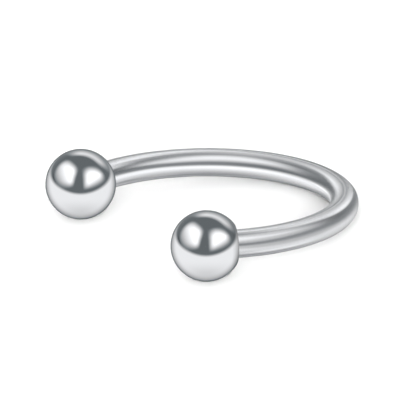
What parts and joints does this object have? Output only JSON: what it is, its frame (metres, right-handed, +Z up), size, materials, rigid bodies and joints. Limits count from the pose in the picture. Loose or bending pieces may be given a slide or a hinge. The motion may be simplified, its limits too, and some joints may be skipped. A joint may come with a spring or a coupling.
{
  "type": "horseshoe barbell",
  "caption": "Open circular barbell of polished steel: a round bar bent to a horseshoe, with a threaded ball screwed onto each end. It lies on its side.",
  "frame": {"origin": "on the surface that it lies on, under the middle of the object's box", "axes": "+Z up, +Y towards the middle of the bend, +X towards ball_right; the plane X = 0 is the plane of mirror symmetry"},
  "size_m": [0.0176, 0.0146, 0.004],
  "materials": {
    "bar_steel": "mirror polished surgical steel",
    "ball_steel": "mirror polished surgical steel"
  },
  "bodies": {
    "bar": {"bar": "bar_steel"},
    "ball_left": {"ball_left": "ball_steel"},
    "ball_right": {"ball_right": "ball_steel"}
  },
  "joints": [
    {"name": "ball_left_unscrew", "type": "slide", "parent": "bar", "child": "ball_left", "axis": [0.309, -0.9462, 0.0954], "range_m": [0, 0.004]},
    {"name": "ball_right_unscrew", "type": "slide", "parent": "bar", "child": "ball_right", "axis": [-0.309, -0.9462, 0.0954], "range_m": [0, 0.004]}
  ]
}
